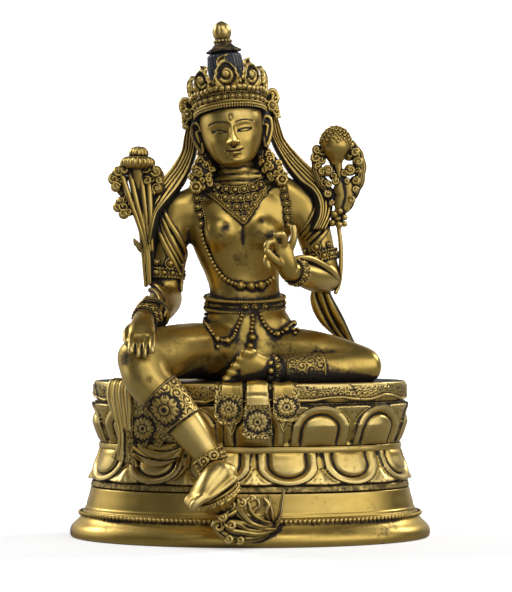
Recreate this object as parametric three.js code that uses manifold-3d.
// A gilt bronze goddess seated at ease on an oval double-lotus pedestal, in two castings:
// the figure with her robe, scarf and flowers, and the pedestal with its foot rest.
// Millimetres, +Z up, facing -Y, origin at the middle of the pedestal's underside.
import * as THREE from "three";
import { mergeVertices } from "three/addons/utils/BufferGeometryUtils.js";
import Module from "manifold-3d";

const wasm = await Module();
wasm.setup();

// Pedestal sizes. Every ring of the pedestal is an oval, less deep than wide by the same length.
// The petal turn is how far round an upper petal stands from the front middle, in petals.
const BASE_WIDTH = 175;
const BASE_DEPTH = 116;
const FOOT_FLARE_HEIGHT = 10;
const BEAD_MOULDING = 4.5;
const PLINTH_BAND_WIDTH = 157;
const PLINTH_BAND_HEIGHT = 9.5;
const LOWER_LOTUS_WIDTH = 157;
const LOWER_LOTUS_HEIGHT = 19.5;
const WAIST_WIDTH = 143;
const WAIST_HEIGHT = 2.4;
const UPPER_LOTUS_WIDTH = 154;
const UPPER_LOTUS_HEIGHT = 20;
const RIM_WIDTH = 149;
const RIM_HEIGHT = 8;
const PETALS_PER_ROW = 12;
const PETAL_RELIEF = 2.4;
const PETAL_TURN = 0.06;
const FOOT_REST_RADIUS = 11.5;
const FOOT_REST_THICKNESS = 3;

// Figure sizes. Her forms are drawn on a grid of 175.5 parts from the seat to the finial's tip.
const FIGURE_HEIGHT = 175.5;
const HEAD_LEAN_DEG = 6;
const HEM_THICKNESS = 1.5;
const HEM_DROP = 5.6;
const HEM_WAVE = 1.7;
const HEM_FOLDS = 14;

// What the two castings leave between them where they meet.
const CLEARANCE = 0.3;

const GRID = 175.5;
const UNIT = FIGURE_HEIGHT / GRID;
const OVALNESS = (BASE_WIDTH - BASE_DEPTH) / 2;
const BAND_Z = FOOT_FLARE_HEIGHT + BEAD_MOULDING;
const LOWER_LOTUS_Z = BAND_Z + PLINTH_BAND_HEIGHT;
const WAIST_Z = LOWER_LOTUS_Z + LOWER_LOTUS_HEIGHT;
const UPPER_LOTUS_Z = WAIST_Z + WAIST_HEIGHT;
const RIM_Z = UPPER_LOTUS_Z + UPPER_LOTUS_HEIGHT;
const THRONE_TOP = RIM_Z + RIM_HEIGHT;
const SEAT_Z = THRONE_TOP + CLEARANCE;
const THRONE_FRONT = OVALNESS - RIM_WIDTH / 2;
const BASE_FRONT = -BASE_DEPTH / 2;

// Solids from geometry

// Six times the volume inside a closed indexed geometry, negative if its faces point inwards.
function signedVolume(position, index) {
  const a = new THREE.Vector3();
  const b = new THREE.Vector3();
  const c = new THREE.Vector3();
  let sum = 0;
  for (let i = 0; i < index.length; i += 3) {
    a.fromBufferAttribute(position, index[i]);
    b.fromBufferAttribute(position, index[i + 1]);
    c.fromBufferAttribute(position, index[i + 2]);
    sum += a.dot(b.cross(c));
  }
  return sum;
}

// A closed geometry as a solid, with its faces turned outwards.
function solidOf(geometry) {
  const bare = geometry.clone();
  bare.deleteAttribute("normal");
  bare.deleteAttribute("uv");
  const merged = mergeVertices(bare, 1e-4);
  const index = Uint32Array.from(merged.index.array);
  if (signedVolume(merged.attributes.position, index) < 0) {
    index.reverse();
  }
  const vertProperties = Float32Array.from(merged.attributes.position.array);
  return new wasm.Manifold(new wasm.Mesh({ numProp: 3, vertProperties, triVerts: index }));
}

function geometryOf(solid) {
  const mesh = solid.getMesh();
  const geometry = new THREE.BufferGeometry();
  geometry.setAttribute("position", new THREE.BufferAttribute(mesh.vertProperties, 3));
  geometry.setIndex(new THREE.BufferAttribute(mesh.triVerts, 1));
  geometry.computeVertexNormals();
  return geometry;
}

function join(geometries) {
  return geometries.map(solidOf).reduce((whole, piece) => whole.add(piece));
}

// A closed skin over rings with the same count of points, with a point to close each end.
function skin(rings, start, end) {
  const count = rings[0].length;
  const points = [start, ...rings.flat(), end];
  const index = [];
  const id = (ring, k) => 1 + ring * count + (k % count);
  for (let k = 0; k < count; k++) {
    index.push(0, id(0, k + 1), id(0, k));
    index.push(points.length - 1, id(rings.length - 1, k), id(rings.length - 1, k + 1));
    for (let r = 0; r < rings.length - 1; r++) {
      index.push(id(r, k), id(r, k + 1), id(r + 1, k));
      index.push(id(r, k + 1), id(r + 1, k + 1), id(r + 1, k));
    }
  }
  const geometry = new THREE.BufferGeometry().setFromPoints(points);
  geometry.setIndex(index);
  return geometry;
}

// A form carried along stations [x, y, z, half width, half depth, groove], closed by low points.
// The half width is measured along `across`, and the half depth square to it and to the path.
// Every second side is sunk by the groove's share. Smooth forms with many sides have round ends.
function sweep(stations, sides, { across = [1, 0, 0], roundness = 0.8 } = {}) {
  const centres = stations.map(([x, y, z]) => new THREE.Vector3(x, y, z));
  const last = stations.length - 1;
  const frames = stations.map(([, , , width, depth = width, groove = 0], i) => {
    const ahead = centres[Math.min(i + 1, last)];
    const behind = centres[Math.max(i - 1, 0)];
    const along = ahead.clone().sub(behind).normalize();
    const side = new THREE.Vector3(...across);
    side.addScaledVector(along, -side.dot(along)).normalize();
    const up = along.clone().cross(side);
    const cap = roundness * Math.min(width, depth);
    return { centre: centres[i], along, side, up, width, depth, groove, cap };
  });
  const ring = ({ centre, along, side, up, width, depth, groove }, share, slide) =>
    Array.from({ length: sides }, (_, k) => {
      const angle = (2 * Math.PI * k) / sides;
      const sunk = k % 2 ? 1 - groove : 1;
      return centre
        .clone()
        .addScaledVector(side, share * width * Math.cos(angle))
        .addScaledVector(up, share * sunk * depth * Math.sin(angle))
        .addScaledVector(along, slide);
    });
  const rings = frames.map((frame) => ring(frame, 1, 0));
  if (sides > 7 && !frames[0].groove) {
    rings.unshift(ring(frames[0], 0.72, -0.6 * frames[0].cap));
    rings.push(ring(frames[last], 0.72, 0.6 * frames[last].cap));
  }
  const pole = ({ centre, along, cap }, way) => centre.clone().addScaledVector(along, way * cap);
  return skin(rings, pole(frames[0], -1), pole(frames[last], 1));
}

// A turned form about +Z from [radius, height] pairs, whose ends are on the axis.
function turned(profile, sides) {
  const outline = profile.map(([radius, height]) => new THREE.Vector2(radius, height));
  return new THREE.LatheGeometry(outline, sides).rotateX(Math.PI / 2);
}

function ellipsoid([x, y, z], rx, ry, rz, wide = 8, high = 5) {
  return new THREE.SphereGeometry(1, wide, high).scale(rx, ry, rz).translate(x, y, z);
}

// A belt or crown band: a section of [out, up] pairs carried round an ellipse whose level varies.
function band({ centre, radiusX, radiusY, level, section, columns }) {
  const [cx, cy] = centre;
  const rings = section.map(([out, up]) =>
    Array.from({ length: columns }, (_, k) => {
      const angle = (2 * Math.PI * k) / columns;
      const x = cx + (radiusX + out) * Math.sin(angle);
      const y = cy - (radiusY + out) * Math.cos(angle);
      return new THREE.Vector3(x, y, level(angle) + up);
    }),
  );
  const middle = (ring) => {
    const sum = ring.reduce((total, point) => total.add(point), new THREE.Vector3());
    return sum.divideScalar(ring.length);
  };
  return skin(rings, middle(rings[0]), middle(rings[rings.length - 1]));
}

// Pedestal

// The rim's outline as a table of lengths, so that petals and folds have even widths round it.
const OUTLINE_STEPS = 1440;
const outlineLengths = [0];
for (let i = 1; i <= OUTLINE_STEPS; i++) {
  const turn = (k) => (2 * Math.PI * k) / OUTLINE_STEPS;
  const half = RIM_WIDTH / 2;
  const dx = half * (Math.sin(turn(i)) - Math.sin(turn(i - 1)));
  const dy = (half - OVALNESS) * (Math.cos(turn(i)) - Math.cos(turn(i - 1)));
  outlineLengths.push(outlineLengths[i - 1] + Math.hypot(dx, dy));
}
const OUTLINE_LENGTH = outlineLengths[OUTLINE_STEPS];

// The angle at a share of the way round, counted from the front middle towards +X.
function angleAt(share) {
  const length = (share - Math.floor(share)) * OUTLINE_LENGTH;
  let low = 0;
  let high = OUTLINE_STEPS;
  while (high - low > 1) {
    const middle = (low + high) >> 1;
    if (outlineLengths[middle] > length) high = middle;
    else low = middle;
  }
  const part = (length - outlineLengths[low]) / (outlineLengths[high] - outlineLengths[low]);
  return (2 * Math.PI * (low + part)) / OUTLINE_STEPS;
}

// The point at a share of the way round an oval of that half width.
function ovalPoint(share, halfWidth, z) {
  const angle = angleAt(share);
  return new THREE.Vector3(
    halfWidth * Math.sin(angle),
    -(halfWidth - OVALNESS) * Math.cos(angle),
    z,
  );
}

function ovalForm(rings) {
  const points = rings.map(({ shares, halfWidths, z }) =>
    shares.map((share, k) => ovalPoint(share, halfWidths[k], z)),
  );
  const bottom = new THREE.Vector3(0, 0, rings[0].z);
  const top = new THREE.Vector3(0, 0, rings[rings.length - 1].z);
  return skin(points, bottom, top);
}

// The plinth under the petals: a flared foot, a bead moulding and a plain band.
function plinth(grow) {
  const columns = 28;
  const half = BASE_WIDTH / 2 + grow;
  const bandHalf = PLINTH_BAND_WIDTH / 2 + grow;
  const profile = [
    [half - 1.5, -grow],
    [half, 2.4],
    [half - 1, 5.4],
    [half - 5, FOOT_FLARE_HEIGHT],
    [half - 4.4, FOOT_FLARE_HEIGHT + 0.6 * BEAD_MOULDING],
    [half - 7.6, BAND_Z + grow],
    [bandHalf - 1, LOWER_LOTUS_Z + grow],
  ];
  const shares = Array.from({ length: columns }, (_, k) => k / columns);
  return ovalForm(profile.map(([width, z]) => ({ shares, halfWidths: shares.map(() => width), z })));
}

// One ring through a row of petals, at a share q of their length from the root.
// Each petal has an edge that follows its arch, and a smaller petal shows behind each gap.
function petalRing({ q, z, level, relief, turn }) {
  const pitch = 1 / PETALS_PER_ROW;
  const arch = 0.9 * Math.sqrt(Math.max(0.004, 1 - Math.max(0, (q - 0.35) / 0.65) ** 2));
  const across = [-1, -arch - 0.06, -arch, 0, arch, arch + 0.06];
  const raise = [q > 0.9 ? 0.2 : 0.55, 0, 0.8, 1, 0.8, 0];
  const shares = [];
  const halfWidths = [];
  for (let i = 0; i < PETALS_PER_ROW; i++) {
    across.forEach((p, k) => {
      shares.push((i + turn + p / 2) * pitch);
      halfWidths.push(level - relief * (1 - raise[k]));
    });
  }
  return { shares, halfWidths, z };
}

// Both petal rows, set half a petal apart, and the rim above them.
function doubleLotus(grow) {
  const lower = LOWER_LOTUS_WIDTH / 2 + grow;
  const upper = UPPER_LOTUS_WIDTH / 2 + grow;
  const waist = WAIST_WIDTH / 2 + 0.6 + grow;
  const rim = RIM_WIDTH / 2 + grow;
  const lowerLevels = [
    [1, lower],
    [0.82, lower - 0.4],
    [0.5, lower - 2],
    [0, waist],
  ];
  const upperLevels = [
    [0, waist],
    [0.4, upper - 0.6],
    [0.8, upper - 0.9],
    [1, upper],
  ];
  const row = (levels, root, reach, turn) =>
    levels.map(([q, level]) =>
      petalRing({ q, z: root + q * reach, level, relief: q > 0 ? PETAL_RELIEF : 0.6, turn }),
    );
  const plain = (level, z, turn) => petalRing({ q: 0, z, level, relief: 0, turn });
  const lowerTurn = PETAL_TURN + 0.5;
  return ovalForm([
    plain(lower - PETAL_RELIEF, LOWER_LOTUS_Z - 1, lowerTurn),
    ...row(lowerLevels, WAIST_Z, 2 - LOWER_LOTUS_HEIGHT - grow, lowerTurn),
    ...row(upperLevels, UPPER_LOTUS_Z, UPPER_LOTUS_HEIGHT - 1 + grow, PETAL_TURN),
    plain(rim, RIM_Z + grow, PETAL_TURN),
    plain(rim, THRONE_TOP + grow, PETAL_TURN),
  ]);
}

// The foot rest: a tilted lotus disc with its cup, and a stalk that joins it to the plinth.
function footRest(grow) {
  const [cx, cy, cz] = before(-13.4, -20.8, -50.4);
  const facing = new THREE.Vector3(-0.4, -0.28, 0.87).normalize();
  const turn = new THREE.Quaternion().setFromUnitVectors(new THREE.Vector3(0, 0, 1), facing);
  const r = FOOT_REST_RADIUS + grow;
  const t = FOOT_REST_THICKNESS;
  const cup = turned(
    [
      [0, -12],
      [5, -11],
      [8, -7.4],
      [r - 1.4, -t],
      [r, -t + 0.6],
      [r, grow],
      [0, grow],
    ],
    12,
  );
  cup.applyQuaternion(turn).translate(cx, cy, cz);
  const stalk = [
    [cx + 3, cy + 3, cz - 7, 6.4, 5],
    [cx + 10, cy + 6, cz - 14.4, 4.8, 4],
    [cx + 18, cy + 8, cz - 16.2, 3.6, 3],
    [cx + 25, BASE_FRONT + 3, cz - 13.6, 2.4, 2.4],
    [cx + 26.6, BASE_FRONT + 3, cz - 5, 1.7, 2],
    [cx + 26.8, BASE_FRONT + 4.6, cz + 2.6, 1.2, 1.4],
  ];
  return [cup, sweep(stalk, 6, { across: [0.3, 0, 1] })];
}

function pedestalOf(grow) {
  return join([plinth(grow), doubleLotus(grow), ...footRest(grow)]);
}

// Figure

// A station on the figure's grid: x and y from the seat's middle, z up from the seat.
function at(x, y, z, width, depth = width, groove = 0) {
  return [x * UNIT, y * UNIT, SEAT_Z + z * UNIT, width * UNIT, depth * UNIT, groove];
}

// A station of what hangs in front of the throne: y is counted from the throne's front.
function before(x, y, z, width, depth = width, groove = 0) {
  const station = at(x, y, z, width, depth, groove);
  station[1] += THRONE_FRONT;
  return station;
}

function torso() {
  const body = [
    at(0.5, 2, 3, 26.5, 21),
    at(-0.5, 2.5, 20, 24.5, 20),
    at(-2.5, 3, 31, 22, 17),
    at(-2.5, 5, 45, 17.2, 12.8),
    at(-3.5, 5, 54, 18.6, 12.8),
    at(-4.6, 4.5, 66, 23.4, 14),
    at(-4.9, 4, 77, 26.4, 14.4),
    at(-4.9, 4.5, 85, 26.6, 13),
    at(-5.4, 5, 90.6, 22, 11.4),
    at(-6, 5, 94.6, 13.6, 10),
    at(-6.6, 4.5, 98, 10.2, 9.6),
    at(-7.4, 3, 107, 9.6, 9.8),
  ];
  const breast = (side) =>
    ellipsoid(at(-4.6 + side * 10.2, -6, 70.6), 9.2 * UNIT, 9 * UNIT, 9.6 * UNIT, 8, 6);
  const belt = band({
    centre: at(-3, 3.6, 0),
    radiusX: 21.4 * UNIT,
    radiusY: 15.6 * UNIT,
    level: (angle) => SEAT_Z + (39.4 - 2.6 * Math.cos(angle)) * UNIT,
    section: [
      [-3, -3.2],
      [0.6, -2.8],
      [0.6, 2.4],
      [-3, 3],
    ],
    columns: 12,
  });
  return [sweep(body, 12, { roundness: 0.1 }), breast(-1), breast(1), belt];
}

// The upper arms and forearms, with the armlets and bracelets as raised rings.
function arms() {
  const across = [0, -1, 0];
  const rightUpper = [
    at(-28, 5, 87, 7),
    at(-35, 5, 84, 9),
    at(-38.6, 5, 72, 8.8),
    at(-40.4, 5, 58, 8.2),
    at(-40.8, 5, 56, 9.4),
    at(-41, 4.8, 52, 9.2),
    at(-41.2, 4, 41, 8),
  ];
  const rightFore = [
    at(-41, 3.4, 41, 8.2),
    at(-43.6, -12, 36.4, 7.6),
    at(-48.6, -32, 31.8, 5.8),
    at(-49, -34, 31.4, 6.8),
    at(-49.8, -38.6, 30.6, 6.6),
    at(-50.2, -41, 30.2, 4.8),
  ];
  const leftUpper = [
    at(18, 5, 87, 7),
    at(25.5, 5, 84.4, 9),
    at(30.4, 4, 75, 8.8),
    at(32.8, 3.2, 66, 8.4),
    at(33.6, 3, 64, 9.4),
    at(34.8, 3, 60, 9),
    at(38.6, 1, 48, 7.4),
  ];
  const leftFore = [
    at(39.2, 1.4, 47.3, 7.4),
    at(31, -12.6, 50, 7),
    at(22.6, -26.6, 52.8, 5.4),
    at(21.6, -28, 53, 6.6),
    at(20, -31, 53.6, 6.2),
    at(19, -33, 54, 4.6),
  ];
  return [
    sweep(rightUpper, 7, { across }),
    sweep(rightFore, 7),
    sweep(leftUpper, 7, { across }),
    sweep(leftFore, 7),
  ];
}

// The lowered hand lies palm out on the knee. The raised one brings finger and thumb together.
function hands() {
  const palms = [
    [at(-50.2, -40, 30.4, 4.8, 4), at(-50, -52, 26, 6, 3.2), at(-49, -62.6, 17, 5.8, 2.6)],
    [at(18.9, -33.4, 54, 4.6, 3.6), at(17.4, -35.6, 59, 5, 3), at(16.4, -36, 65.6, 5, 2.2)],
  ];
  const lowered = [
    at(-49, -62, 17.6, 5.8, 2, 0.2),
    at(-48.6, -66.8, 10.4, 5.6, 1.8, 0.5),
    at(-48.2, -67, 5, 5, 1.4, 0.6),
  ];
  const digits = [
    [at(-54, -52, 26.6, 2.1), at(-58, -57.5, 22.6, 1.9), at(-58.4, -60.5, 18.2, 1.5)],
    [at(20.2, -35.6, 64.4, 1.6), at(22, -36.4, 70.6, 1.5), at(21.4, -36.4, 77, 1.1)],
    [at(17, -36.6, 65.4, 1.5), at(17, -38.4, 71.6, 1.5), at(13.6, -41, 72.4, 1.2)],
    [at(13.8, -36.8, 65, 1.5), at(12.6, -40, 69, 1.5), at(9.2, -42.4, 66.4, 1.3)],
    [at(12.4, -36, 61.6, 1.5), at(9.4, -38.6, 60.6, 1.4), at(10.4, -40.8, 56, 1.2)],
    [at(15.8, -36.6, 57.6, 2), at(12, -41, 60.4, 1.7), at(9, -43.4, 63.2, 1.4)],
  ];
  return [
    ...palms.map((stations) => sweep(stations, 6)),
    sweep(lowered, 12),
    ...digits.map((stations) => sweep(stations, 4)),
  ];
}

// One leg hangs down to the foot rest. The other is folded across the seat.
function legs() {
  const across = [0, -1, 0];
  const thigh = [
    at(-8, 1, 14, 14, 13),
    at(-22, -15, 16, 14.2, 13.6),
    before(-37, 10.5, 15.6, 13.4, 13),
    before(-47, -2, 13.4, 12.4, 12),
  ];
  const shin = [
    before(-48.6, -4.6, 14, 12, 11.4),
    before(-46.8, -9, 4, 11.2, 10.8),
    before(-40.4, -11, -5, 9.8, 9.8),
    before(-31.4, -13, -17.6, 8.4, 8.6),
    before(-22.6, -14.2, -29, 6.8, 7),
    before(-21.4, -14.4, -30.6, 8.2, 8.4),
    before(-18.4, -14.9, -34.4, 8, 8.2),
    before(-14.4, -16.4, -40.4, 5.8, 6.2),
  ];
  const foldedThigh = [
    at(6, -1, 14, 14, 12.4),
    at(22, -5.6, 15, 13.6, 12),
    at(38, -12.4, 13.4, 11.4, 10.6),
    at(52.4, -19, 8.8, 8.6, 8.4),
  ];
  const foldedShin = [
    at(53.4, -19.4, 8.5, 8.3, 8.2),
    at(42, -25.4, 7.9, 7.9, 7.7),
    at(26, -30.8, 7.4, 7.1, 7.1),
    at(16.4, -33.4, 7.3, 6.4, 6.4),
    at(15, -33.8, 7.3, 7.6, 7.6),
    at(11.6, -34.7, 7.3, 7.6, 7.6),
    at(5, -36.6, 7.2, 5, 5),
  ];
  return [
    sweep(thigh, 9, { across: [0.6, -0.6, 0] }),
    sweep(shin, 8, { across: [0, 1, 0.4] }),
    sweep(foldedThigh, 8, { across }),
    sweep(foldedShin, 8, { across }),
  ];
}

function feet() {
  const pendant = [
    before(-13, -17.4, -42.4, 5, 5.4),
    before(-18, -24.4, -47, 5.4, 4),
    before(-24.4, -30.6, -51.4, 5.4, 2.6),
  ];
  const pendantToes = [
    before(-23.6, -29.8, -51, 5.4, 1.8, 0.3),
    before(-25.8, -32, -52.8, 5.2, 1.6, 0.5),
    before(-27.8, -34.2, -54.2, 4.6, 1.2, 0.6),
  ];
  const folded = [
    at(10, -35.4, 7.3, 4.8, 4.4),
    at(0, -38.6, 7.6, 5.8, 3.4),
    at(-6, -40, 7.8, 6.8, 2.6),
  ];
  const foldedToes = [
    at(-4.6, -39.8, 7.8, 6.8, 2, 0.3),
    at(-7.4, -40.8, 7.8, 6.6, 1.8, 0.5),
    at(-9.8, -41.6, 8, 5.8, 1.4, 0.6),
  ];
  const outward = [0.7, -0.7, 0];
  const upright = [0, 0, 1];
  return [
    sweep(pendant, 7, { across: outward }),
    sweep(pendantToes, 16, { across: outward }),
    sweep(folded, 7, { across: upright }),
    sweep(foldedToes, 16, { across: upright }),
  ];
}

// The head is drawn about its own middle, at the level of the eyes, and then leant over.
function head() {
  const skull = [
    [0, -6.6, -13.6, 6, 6],
    [0, -3.4, -11, 10, 10.6],
    [0, -1, -6, 13.4, 13.8],
    [0, 0, 1, 15.1, 15.2],
    [0, 0.5, 7, 15.2, 15.6],
    [0, 1.5, 15, 13.6, 14],
    [0, 2, 21, 9.4, 9.8],
  ];
  const nose = [
    [0, -13.6, 2, 1, 1.4],
    [0, -15.6, -3, 1.4, 1.8],
    [0, -16.2, -5.6, 2.2, 1.6],
  ];
  const topknot = [
    [0, 14],
    [9.8, 20],
    [9, 27],
    [8.4, 35],
    [6.6, 38.6],
    [0, 39],
  ];
  const finial = [
    [0, 38],
    [7.6, 38.8],
    [7.4, 40.4],
    [4, 43],
    [3.8, 45],
    [4.4, 48],
    [3.4, 51.8],
    [0, 54.2],
  ];
  const forms = [
    sweep(skull, 10, { roundness: 0.5 }),
    sweep(nose, 4, { roundness: 0.4 }),
    ellipsoid([0, -12.6, -9], 3.4, 2.4, 1.2, 6, 4),
    turned(topknot, 8),
    turned(finial, 7),
  ];
  for (const side of [-1, 1]) {
    const ear = [
      [side * 15.2, 2, 6, 2.4, 1.6],
      [side * 15.8, 2, 0, 2.3, 1.6],
      [side * 15.2, 1, -9.6, 1.9, 1.7],
    ];
    const fan = [
      [side * 19.4, 4, 1, 2.4, 2],
      [side * 22.4, 4.4, 8, 3.8, 2.6],
      [side * 21.4, 4, 18, 1.8, 1.6],
    ];
    forms.push(
      ellipsoid([side * 5.6, -13, 0], 3.3, 1.8, 1.6, 5, 3),
      sweep(ear, 4, { across: [0, 1, 0] }),
      sweep(fan, 5),
      ellipsoid([side * 16.4, 0.6, -12.2], 3.1, 3, 3.2, 5, 4),
    );
  }
  forms.push(...crown());
  const placed = new THREE.Matrix4()
    .makeTranslation(-8.6 * UNIT, -1.5 * UNIT, SEAT_Z + 121.6 * UNIT)
    .multiply(new THREE.Matrix4().makeRotationY(THREE.MathUtils.degToRad(-HEAD_LEAN_DEG)))
    .multiply(new THREE.Matrix4().makeScale(UNIT, UNIT, UNIT));
  return forms.map((form) => form.applyMatrix4(placed));
}

// A band that rises over the brow, and five flame-shaped leaves that stand on it.
function crown() {
  const radius = 17.6;
  const middleY = 0.8;
  const level = (angle) => 10.5 + 3.4 * Math.cos(angle);
  const section = [
    [-3, -2.8],
    [1.1, -2.8],
    [0.6, 3.2],
    [-4, 3.6],
  ];
  const forms = [
    band({ centre: [0, middleY], radiusX: radius, radiusY: radius, level, section, columns: 14 }),
  ];
  const leaves = [
    { degrees: 0, height: 21, halfWidth: 6 },
    { degrees: 41, height: 17.6, halfWidth: 5.6 },
    { degrees: 79, height: 15.6, halfWidth: 5 },
  ];
  const outline = [
    [0, 0.9, 0],
    [0.36, 1, 0.6],
    [0.66, 0.7, 0.4],
    [1, 0.12, -0.5],
  ];
  for (const { degrees, height, halfWidth } of leaves) {
    for (const side of degrees ? [-1, 1] : [1]) {
      const angle = THREE.MathUtils.degToRad(side * degrees);
      const stations = outline.map(([share, width, lean]) => [
        (radius - 1.4 + lean) * Math.sin(angle),
        middleY - (radius - 1.4 + lean) * Math.cos(angle),
        level(angle) + 1 + share * height,
        width * halfWidth,
        1.7,
      ]);
      forms.push(sweep(stations, 4, { across: [Math.cos(angle), Math.sin(angle), 0] }));
    }
  }
  return forms;
}

// The scarf: grooved bands that fall behind the ears, cross the shoulders and fan out down the
// upper arms, a loop over the raised forearm, and an end that hangs behind the elbow.
function scarf() {
  const grooved = (stations, across = [1, 0, 0.4]) =>
    sweep(
      stations.map((station) => [...station.slice(0, 5), 0.45]),
      10,
      { across },
    );
  const rightBand = [
    at(-29.6, 5, 130, 3, 2.6),
    at(-32.8, 7, 116, 4.3, 2.8),
    at(-43.4, 8, 95, 4.4, 3.2),
    at(-48, 3, 80, 4.4, 3.4),
    at(-47.8, -1.4, 43, 3, 2.8),
  ];
  const rightFan = [
    at(-46.8, 0, 84, 3, 3.2),
    at(-42, -2, 66, 5.2, 3.6),
    at(-36, -2, 43, 4.4, 3),
  ];
  const leftBand = [
    at(10.8, 5, 130, 3, 2.6),
    at(14.8, 7, 116, 4.3, 2.8),
    at(30.4, 8.2, 97, 4.4, 3.2),
    at(39, 2, 80, 3.8, 3.2),
    at(44, 1.6, 45, 2, 3),
  ];
  const leftFan = [
    at(36.6, 1, 84, 3, 3),
    at(32.6, -2.4, 74.6, 4.4, 3.4),
    at(27, -2, 65, 4.4, 3),
  ];
  const loop = [at(44, -1, 45, 1.8, 2.2), at(33, -20, 56, 1.4, 1.6), at(22, -30, 58.6, 1.4, 1.6)];
  const end = [
    at(34, 6, 43, 5.4, 2.4),
    at(43, 12.6, 23, 6, 2.2),
    at(51, 18, 1.2, 6.6, 2.4),
  ];
  return [
    grooved(rightBand),
    grooved(rightFan),
    grooved(leftBand),
    grooved(leftFan),
    grooved(end, [1, 0, 0]),
    sweep(loop, 4),
  ];
}

// The lotus at one shoulder: a stem up the outside of the arm, a flower and side leaves.
function shoulderLotus({ stem, flower, profile, leaves }) {
  const [x, y, z] = flower;
  return [
    sweep(stem, 5),
    turned(profile, 7).scale(UNIT, UNIT, UNIT).translate(x, y, z),
    ...leaves.map((stations) => sweep(stations, 4)),
  ];
}

function flowers() {
  const bud = [
    [0, -9],
    [2.6, -8.4],
    [4.6, -1],
    [8.2, 1.6],
    [7.8, 6.6],
    [4, 7.4],
    [4, 10.6],
    [0, 12.4],
  ];
  const open = [
    [0, -9],
    [2.6, -8.4],
    [4.6, -1],
    [6.7, 3],
    [6.4, 8.6],
    [3.6, 13.6],
    [0, 15],
  ];
  const right = {
    stem: [
      at(-49.4, -1, 39, 2.2),
      at(-50.8, -2, 57, 2.6),
      at(-53.6, -2, 80, 4, 3),
      at(-55.4, -2, 98, 4.4, 3.2),
    ],
    flower: at(-54.6, -2, 101.4),
    profile: bud,
    leaves: [
      [
        at(-56, -1.6, 76, 2.8, 1.8),
        at(-61.6, -1, 84, 3.6, 1.8),
        at(-64, 0, 95, 3.8, 1.8),
        at(-57.4, -1, 102.4, 2.2, 1.8),
      ],
      [
        at(-51, -1, 79, 2.6, 1.8),
        at(-46.6, 1, 88, 3.2, 1.8),
        at(-46, 1, 99, 3, 1.8),
        at(-52, 0, 103.4, 2.2, 1.8),
      ],
    ],
  };
  const left = {
    stem: [
      at(43.4, -1, 74, 2.2),
      at(44, -1, 81, 3.6, 2.8),
      at(46.2, -1, 92, 5.4, 2.8),
      at(45, -1, 104, 2.6),
    ],
    flower: at(43.4, -1, 110.4),
    profile: open,
    leaves: [
      [
        at(42, 1, 92, 3, 1.8),
        at(35.4, 2, 99, 3.6, 1.9),
        at(33.8, 1, 110, 3.2, 1.8),
        at(38, 0, 117, 2, 1.7),
      ],
      [
        at(48, -1, 90, 3, 1.9),
        at(53, -1, 99, 3.4, 1.9),
        at(53.4, -1, 111, 3.4, 1.8),
        at(48.4, -1, 119, 2.2, 1.7),
      ],
    ],
  };
  return [...shoulderLotus(right), ...shoulderLotus(left)];
}

// The collar on the breast, and the long necklace that falls to the belt.
function necklaces() {
  const collar = (side) => [
    at(-6 + 11.4 * side, -3.4, 94, 2.8, 2),
    at(-5 + 6 * side, -9, 87, 3.4, 2),
    at(-4, -11.4, 78.6, 2, 1.8),
  ];
  const chain = [
    at(-20, -5.4, 93, 1.8),
    at(-23, -9.6, 76, 1.8),
    at(-8, -9.6, 46.6, 1.8),
    at(5, -9, 46.6, 1.8),
    at(16, -9.8, 76, 1.8),
    at(11, -6.2, 94, 1.8),
  ];
  return [sweep(collar(-1), 5), sweep(collar(1), 5), sweep(chain, 4)];
}

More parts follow.
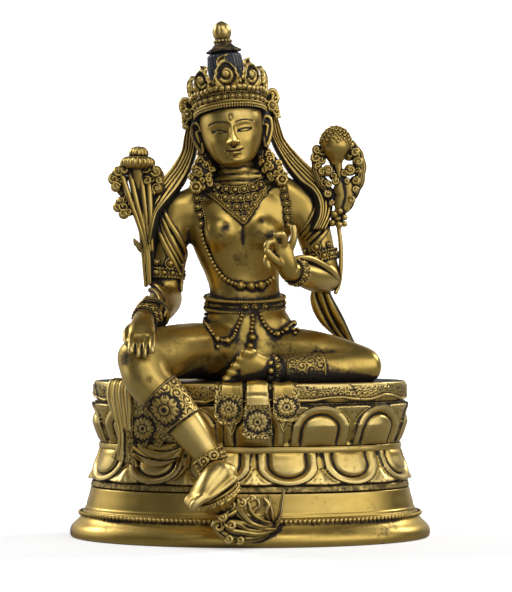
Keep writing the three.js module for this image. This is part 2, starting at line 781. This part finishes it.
// The robe spread on the throne: a thin cloth over its top, with a wavy edge down its sides.
function hem() {
  const steps = 40;
  const outer = RIM_WIDTH / 2 + CLEARANCE + HEM_THICKNESS;
  const top = SEAT_Z + HEM_THICKNESS;
  const low = (share) => {
    const fromFront = Math.min(share, 1 - share);
    const covered = THREE.MathUtils.clamp((0.36 - fromFront) / 0.05, 0, 1);
    const wave = HEM_WAVE * Math.cos(2 * Math.PI * HEM_FOLDS * share);
    return SEAT_Z - 0.6 - covered * (HEM_DROP + wave);
  };
  const rows = [
    (share) => ovalPoint(share, RIM_WIDTH / 2 - 1, SEAT_Z),
    (share) => ovalPoint(share, outer, low(share)),
    (share) => ovalPoint(share, outer, top - 0.8),
    (share) => ovalPoint(share, outer - 1, top),
  ];
  const rings = rows.map((row) => Array.from({ length: steps }, (_, k) => row(k / steps)));
  const start = new THREE.Vector3(0, 0, SEAT_Z);
  return skin(rings, start, new THREE.Vector3(0, 0, top));
}

// What hangs over the petals: three tongues of the sash, the robe's corner and the scarf's end.
function hangings() {
  const lotusHalf = UPPER_LOTUS_WIDTH / 2;
  const hang = (share, width, across, steps, sides) =>
    sweep(
      steps.map(([z, out, spread = 0]) => {
        const point = ovalPoint(share + spread, lotusHalf + out, SEAT_Z + z * UNIT);
        return [point.x, point.y, point.z, width * UNIT, 1.3 * UNIT];
      }),
      sides,
      { across, roundness: 0.5 },
    );
  const tongue = (share, drop, out) =>
    hang(share, 6, [1, 0, 0], [[-0.6, -1.6], [-4, out], [-drop, out]], 6);
  const forms = [tongue(-0.024, 15, 2), tongue(0.009, 23, 4), tongue(0.043, 15, 2)];
  for (let i = 0; i < 4; i++) {
    const share = -0.2 + 0.015 * i;
    const spread = 0.006 * (i - 1.5);
    const steps = [[0, -1.4], [-8, 1.8], [-24, 2.6, spread], [-38, 3.4, 2 * spread]];
    forms.push(hang(share, 2.5, [0.5, -0.8, 0], steps, 4));
  }
  forms.push(hang(-0.13, 11, [0.9, -0.5, 0], [[-1, -1.2], [-9, 2], [-26, 2.8]], 6));
  return forms;
}

function figureOf() {
  return join([
    ...torso(),
    ...arms(),
    ...hands(),
    ...legs(),
    ...feet(),
    ...head(),
    ...scarf(),
    ...flowers(),
    ...necklaces(),
    hem(),
    ...hangings(),
  ]);
}

function namedMesh(name, solid, colour) {
  const material = new THREE.MeshStandardMaterial({ color: colour, metalness: 1, roughness: 0.35 });
  const mesh = new THREE.Mesh(geometryOf(solid), material);
  mesh.name = name;
  return mesh;
}

const statue = new THREE.Group();
statue.add(namedMesh("tara_figure", figureOf().subtract(pedestalOf(CLEARANCE)), 0xc79a3a));
statue.add(namedMesh("lotus_pedestal", pedestalOf(0), 0xb88d36));

export default statue;
